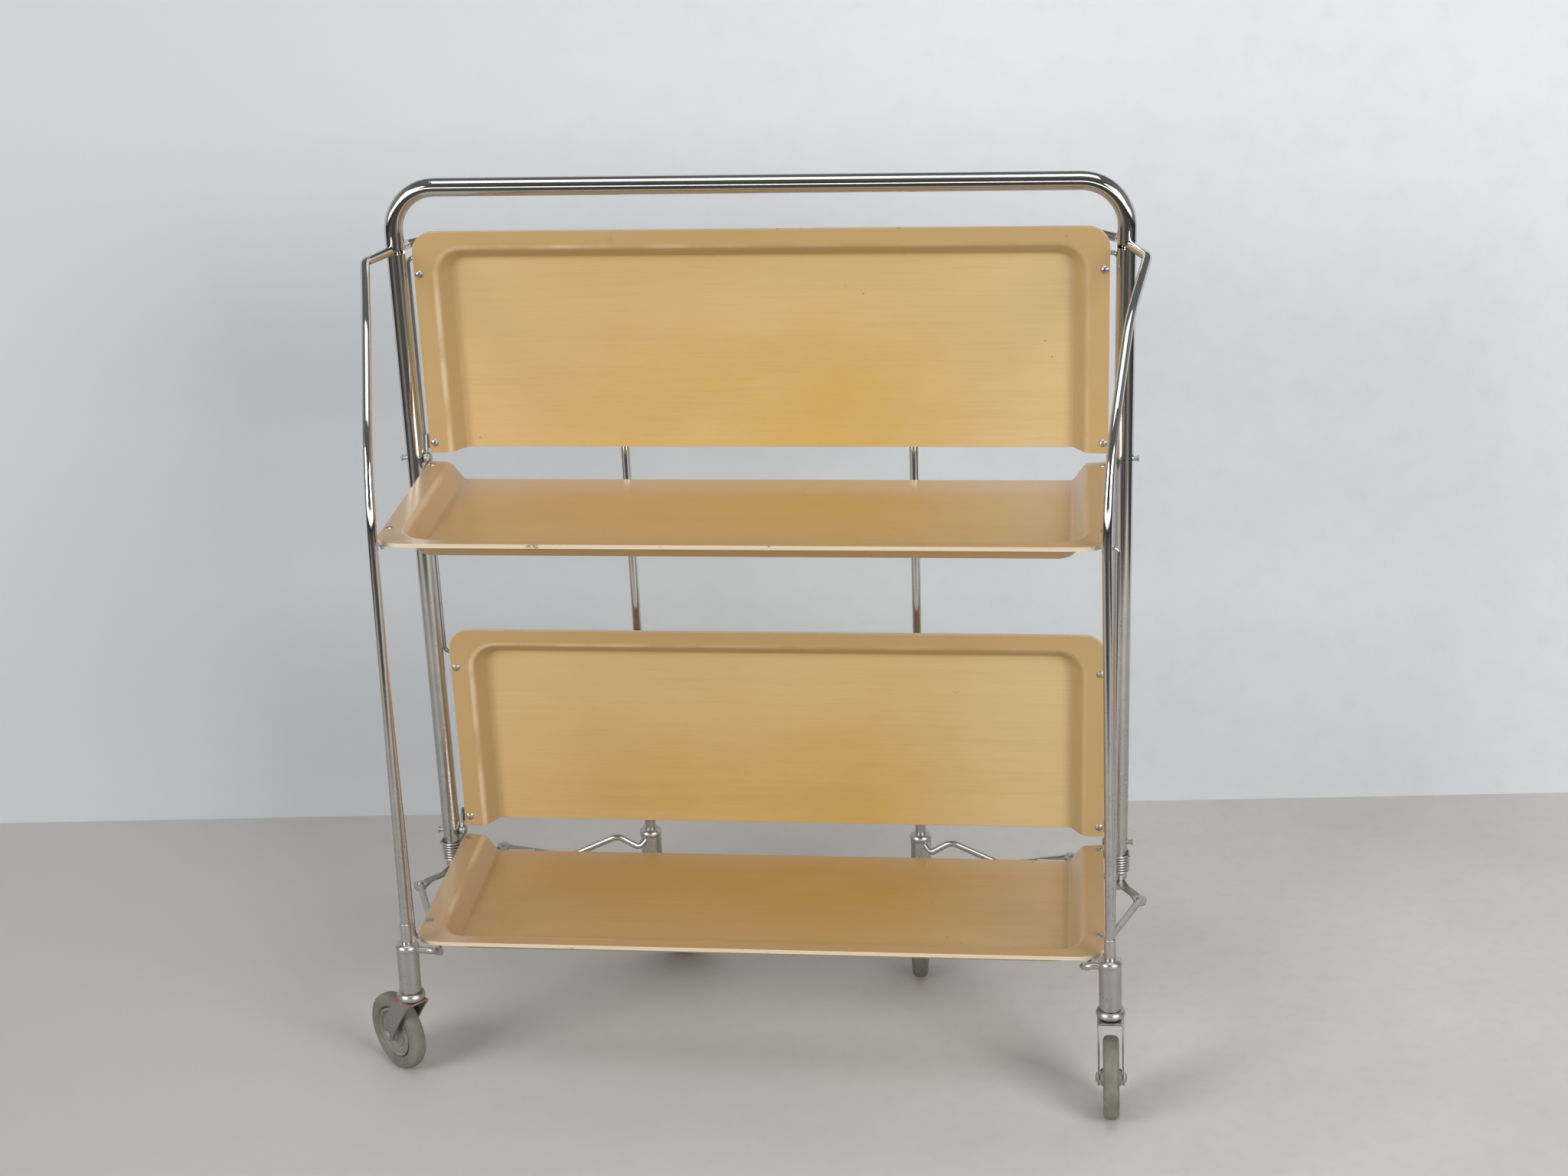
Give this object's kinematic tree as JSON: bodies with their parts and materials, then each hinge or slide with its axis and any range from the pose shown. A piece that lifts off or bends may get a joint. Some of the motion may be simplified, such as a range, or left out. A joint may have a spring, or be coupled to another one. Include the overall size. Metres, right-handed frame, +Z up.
{
  "type": "folding serving trolley",
  "caption": "Folding two-tier serving trolley with drop leaves on a U-shaped tube handle, swinging gate legs and swivel casters, shown half open.",
  "frame": {"origin": "middle of the object's box, on the floor plane under the wheels", "axes": "+X to the user's right when facing the open trays, +Y away from the user towards the folded leaves, +Z up"},
  "size_m": [0.6818, 0.3214, 0.7627],
  "materials": {
    "chrome": "polished chrome with fine wear",
    "worn_chrome": "dull, lightly pitted chrome",
    "leaf_wood": "satin lacquered light wood grain on moulded plywood",
    "bracket_steel": "satin plated sheet steel",
    "pin_steel": "satin plated steel",
    "spring_steel": "dull plated spring wire",
    "fork_steel": "dull plated steel with a little rust",
    "hub": "matte light grey",
    "tyre": "matte mid grey rubber"
  },
  "bodies": {
    "frame": {"front_collar_rings": "worn_chrome", "front_ferrules": "worn_chrome", "front_knee_rivets": "pin_steel", "front_leg_rods": "chrome", "front_leg_sleeves": "worn_chrome", "front_lower_arms": "worn_chrome", "front_outriggers": "worn_chrome", "handle_tube": "chrome", "hinge_pins": "pin_steel", "hinge_spacers": "pin_steel", "leg_springs": "spring_steel", "rear_hinge_brackets": "bracket_steel", "rear_leaf_rivets": "pin_steel", "rear_link_brackets": "bracket_steel", "rear_link_rods": "chrome", "rear_lower_leaf": "leaf_wood", "rear_upper_leaf": "leaf_wood", "swing_pin_blocks": "pin_steel", "swing_pins": "pin_steel", "tube_plugs": "worn_chrome"},
    "front_upper_leaf": {"front_upper_hinge_brackets": "bracket_steel", "front_upper_leaf": "leaf_wood", "front_upper_leaf_rivets": "pin_steel", "front_upper_link_brackets": "bracket_steel"},
    "front_lower_leaf": {"front_lower_hinge_brackets": "bracket_steel", "front_lower_leaf": "leaf_wood", "front_lower_leaf_rivets": "pin_steel", "front_lower_link_brackets": "bracket_steel"},
    "front_link_rods": {"front_link_rods": "chrome"},
    "rear_left_leg": {"rear_left_collar_ring": "worn_chrome", "rear_left_ferrule": "worn_chrome", "rear_left_knee_rivet": "pin_steel", "rear_left_leg_rod": "chrome", "rear_left_leg_sleeve": "worn_chrome", "rear_left_lower_arm": "worn_chrome", "rear_left_outrigger": "worn_chrome"},
    "rear_right_leg": {"rear_right_collar_ring": "worn_chrome", "rear_right_ferrule": "worn_chrome", "rear_right_knee_rivet": "pin_steel", "rear_right_leg_rod": "chrome", "rear_right_leg_sleeve": "worn_chrome", "rear_right_lower_arm": "worn_chrome", "rear_right_outrigger": "worn_chrome"},
    "front_left_swivel": {"front_left_fork": "fork_steel", "front_left_axle": "fork_steel"},
    "front_left_wheel": {"front_left_hub": "hub", "front_left_tyre": "tyre"},
    "front_right_swivel": {"front_right_fork": "fork_steel", "front_right_axle": "fork_steel"},
    "front_right_wheel": {"front_right_hub": "hub", "front_right_tyre": "tyre"},
    "rear_left_swivel": {"rear_left_fork": "fork_steel", "rear_left_axle": "fork_steel"},
    "rear_left_wheel": {"rear_left_hub": "hub", "rear_left_tyre": "tyre"},
    "rear_right_swivel": {"rear_right_fork": "fork_steel", "rear_right_axle": "fork_steel"},
    "rear_right_wheel": {"rear_right_hub": "hub", "rear_right_tyre": "tyre"}
  },
  "joints": [
    {"name": "front_upper_fold", "type": "hinge", "parent": "frame", "child": "front_upper_leaf", "pos_m": [0.00598, 0.07914, 0.51272], "axis": [-1, 0.0002, -0.0047], "range_deg": [0, 90]},
    {"name": "front_lower_fold", "type": "hinge", "parent": "frame", "child": "front_lower_leaf", "pos_m": [0.00772, 0.10312, 0.1455], "axis": [-1, 0.0002, -0.0047], "range_deg": [0, 90]},
    {"name": "front_link_turn", "type": "hinge", "parent": "front_upper_leaf", "child": "front_link_rods", "pos_m": [0.00606, -0.09673, 0.4897], "axis": [-1, 0.0002, -0.0047], "range_deg": [-90, 0]},
    {"name": "rear_right_swing", "type": "hinge", "parent": "frame", "child": "rear_right_leg", "pos_m": [0.31358, 0.06684, 0.70178], "axis": [0.0047, 0.0652, -0.9979], "range_deg": [0, 77]},
    {"name": "rear_left_swing", "type": "hinge", "parent": "frame", "child": "rear_left_leg", "pos_m": [-0.30341, 0.06694, 0.69885], "axis": [-0.0047, -0.0652, 0.9979], "range_deg": [0, 77]},
    {"name": "front_left_swivel_turn", "type": "hinge", "parent": "frame", "child": "front_left_swivel", "pos_m": [-0.29217, -0.10293, 0.07802], "axis": [0.0131, -0.0621, 0.998], "continuous": true},
    {"name": "front_left_wheel_spin", "type": "hinge", "parent": "front_left_swivel", "child": "front_left_wheel", "pos_m": [-0.31166, -0.08312, 0.03512], "axis": [-0.6711, -0.7405, -0.0372], "continuous": true},
    {"name": "front_right_swivel_turn", "type": "hinge", "parent": "frame", "child": "front_right_swivel", "pos_m": [0.30819, -0.10303, 0.08086], "axis": [-0.0226, -0.0621, 0.9978], "continuous": true},
    {"name": "front_right_wheel_spin", "type": "hinge", "parent": "front_right_swivel", "child": "front_right_wheel", "pos_m": [0.30919, -0.12573, 0.03508], "axis": [0.9997, -0.0013, 0.0226], "continuous": true},
    {"name": "rear_left_swivel_turn", "type": "hinge", "parent": "rear_left_leg", "child": "rear_left_swivel", "pos_m": [-0.11891, 0.14296, 0.07912], "axis": [-0.0056, -0.0731, 0.9973], "continuous": true},
    {"name": "rear_left_wheel_spin", "type": "hinge", "parent": "rear_left_swivel", "child": "rear_left_wheel", "pos_m": [-0.09319, 0.14746, 0.03518], "axis": [-0.0501, 0.9961, 0.0727], "continuous": true},
    {"name": "rear_right_swivel_turn", "type": "hinge", "parent": "rear_right_leg", "child": "rear_right_swivel", "pos_m": [0.13499, 0.14286, 0.08106], "axis": [-0.0039, -0.0731, 0.9973], "continuous": true},
    {"name": "rear_right_wheel_spin", "type": "hinge", "parent": "rear_right_swivel", "child": "rear_right_wheel", "pos_m": [0.13516, 0.12067, 0.03501], "axis": [1, -0.0001, 0.0039], "continuous": true}
  ],
  "couplings": [
    {"joint": "front_lower_fold", "follows": "front_upper_fold", "ratio": 1},
    {"joint": "front_link_turn", "follows": "front_upper_fold", "ratio": -1}
  ]
}
